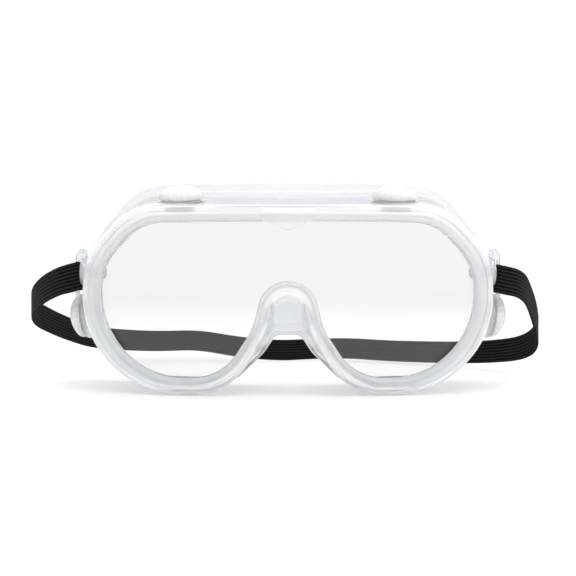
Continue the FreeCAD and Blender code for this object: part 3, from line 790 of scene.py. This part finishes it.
def vent_cap(name, place):
    """Low hollow dome on a stem, with upright ribs round its edge."""
    dome_z = VENT_HEIGHT - VENT_DOME
    edge_x = VENT_RADIUS - VENT_EDGE
    edge_z = dome_z + math.sqrt((VENT_DOME - VENT_EDGE) ** 2 - edge_x ** 2)
    seam = math.atan2(edge_x, edge_z - dome_z)

    def arch(inset, start):
        """From the angle start on the dome over its rounded edge and down to the open rim."""
        dome = [((VENT_DOME - inset) * math.sin(a), dome_z + (VENT_DOME - inset) * math.cos(a))
                for a in np.linspace(start, seam, 9)]
        edge = [(edge_x + (VENT_EDGE - inset) * math.sin(a), edge_z + (VENT_EDGE - inset) * math.cos(a))
                for a in np.linspace(seam, math.pi / 2, 7)[1:]]
        return dome + edge

    outside = arch(0, 0.0015)
    rim = [(VENT_RADIUS, VENT_GAP + 0.15 * MM), (VENT_RADIUS - 0.2 * MM, VENT_GAP),
           (VENT_RADIUS - VENT_SHELL, VENT_GAP)]
    inside = arch(VENT_SHELL, math.asin(VENT_NECK / (VENT_DOME - VENT_SHELL)))[::-1]
    stem = [(VENT_NECK, 1.25 * MM), (VENT_STEM, 1.25 * MM), (VENT_STEM, -1.3 * MM), (0.02 * MM, -1.5 * MM)]
    last_ribbed = len(outside) + 1

    def ribs(i, angle):
        """Grooves between the ribs, which get deeper from the dome down to the rim."""
        if not FIRST_RIBBED <= i <= last_ribbed:
            return 0.0
        depth = min(1.0, (i - FIRST_RIBBED + 1) / 4) * VENT_RIB_DEPTH
        return -depth * abs(math.sin(VENT_RIBS * angle / 2)) ** 3

    cap = turned(f"vent_cap_{name}_dome", outside + rim + inside + stem, place, VENT_RIBS * 8, ribs)
    smooth_by_angle(cap, 50)
    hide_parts(f"vent_cap_{name}")
    return cap


def softened_copy(node, width, segments):
    """Copy of a CAD part with its hard edges eased."""
    data = frame["nodes"][node].data.copy()
    mesh = bmesh.new()
    mesh.from_mesh(data)
    bmesh.ops.remove_doubles(mesh, verts=mesh.verts, dist=0.002 * MM)
    bmesh.ops.dissolve_limit(mesh, angle_limit=math.radians(1), verts=mesh.verts, edges=mesh.edges)
    mesh.to_mesh(data)
    mesh.free()
    data.materials.clear()
    obj = add_object(f"{node}_eased", data)
    bevel = obj.modifiers.new("ease", "BEVEL")
    bevel.width = width
    bevel.segments = segments
    bevel.limit_method = "ANGLE"
    bevel.angle_limit = math.radians(40)
    apply_modifiers(obj)
    smooth_by_angle(obj, 40)
    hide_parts(node)
    return obj


vent_pieces, hook_pieces, rivet_pieces = [], [], []
for vent_name, vent_place in vent_places():
    vent_pieces.append(vent_cap(vent_name, vent_place))
    vent_pieces.append(softened_copy(f"vent_seat_{vent_name}", 0.15 * MM, 1))
for side_name in ("left", "right"):
    hook_pieces.append(softened_copy(f"strap_hook_{side_name}", 0.5 * MM, 3))
    rivet_pieces.append(softened_copy(f"hook_rivet_{side_name}", 0.15 * MM, 2))
for piece in vent_pieces:
    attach(piece, GOGGLE)
for piece in hook_pieces:
    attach(piece, HEADBAND)
for piece in rivet_pieces:
    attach(piece, GOGGLE)

# ---------------------------------------------------------------- finishes
paint([lens_piece], lens_clear())
paint(vent_pieces, vent_white())
paint(hook_pieces + rivet_pieces, hook_clear())
paint([strap] + strap_ends, elastic())

# ---------------------------------------------------------------- floor and light
FLOOR_HALF, FLOOR_GAP = 8, 0.2 * MM
SKY_FRONT_Y, SKY_REAR_Y = -0.6, 0.5
SKY_FRONT_STRENGTH, SKY_REAR_STRENGTH = 0.90, 1.06
SUN_STRENGTH, SUN_SPREAD, SUN_HEIGHT = 0.6, math.radians(80), 1.5


def pale_sky():
    """White surroundings that are a little brighter behind the object than in front of it."""
    world = bpy.data.worlds.new("studio")
    world.use_nodes = True
    nodes, links = world.node_tree.nodes, world.node_tree.links
    background = nodes["Background"]
    background.inputs["Color"].default_value = (1, 1, 1, 1)
    direction = component(nodes, links, coordinates(nodes, "Generated"), "Y")
    strength = ramped(nodes, links, direction, SKY_FRONT_Y, SKY_REAR_Y,
                      SKY_FRONT_STRENGTH, SKY_REAR_STRENGTH)
    links.new(strength, background.inputs["Strength"])
    return world


def soft_box(name, place, aim, width, height, power):
    light = bpy.data.lights.new(name, "AREA")
    light.shape = "RECTANGLE"
    light.size, light.size_y = width, height
    light.energy = power
    obj = add_object(name, light)
    obj.location = place
    obj.rotation_euler = (Vector(aim) - Vector(place)).to_track_quat("-Z", "Y").to_euler()
    return obj


def ceiling():
    """Wide, weak light from straight above."""
    light = bpy.data.lights.new("ceiling", "SUN")
    light.energy = SUN_STRENGTH
    light.angle = SUN_SPREAD
    obj = add_object("ceiling", light)
    obj.location = (0, 0, SUN_HEIGHT)
    return obj


scene = bpy.context.scene
scene.world = pale_sky()
floor_corners = [(-FLOOR_HALF, -FLOOR_HALF, 0), (FLOOR_HALF, -FLOOR_HALF, 0), (FLOOR_HALF, FLOOR_HALF, 0),
                 (-FLOOR_HALF, FLOOR_HALF, 0)]
floor = mesh_piece("floor", floor_corners, [(0, 1, 2, 3)])
floor.location.z = cad_box[0][2] - FLOOR_GAP
paint([floor], pale_floor())
lamps = [soft_box("overhead", place=(0.1, 0.0, 1.1), aim=(0, 0.02, 0), width=1.4, height=1.0, power=4),
         soft_box("front_right", place=(0.8, -0.6, 0.5), aim=(0, 0, 0.04), width=0.4, height=0.5, power=2),
         ceiling()]

scene.view_settings.view_transform = "Standard"
scene.cycles.max_bounces = 32
scene.cycles.transmission_bounces = 32
scene.cycles.transparent_max_bounces = 16
scene.cycles.use_denoising = True
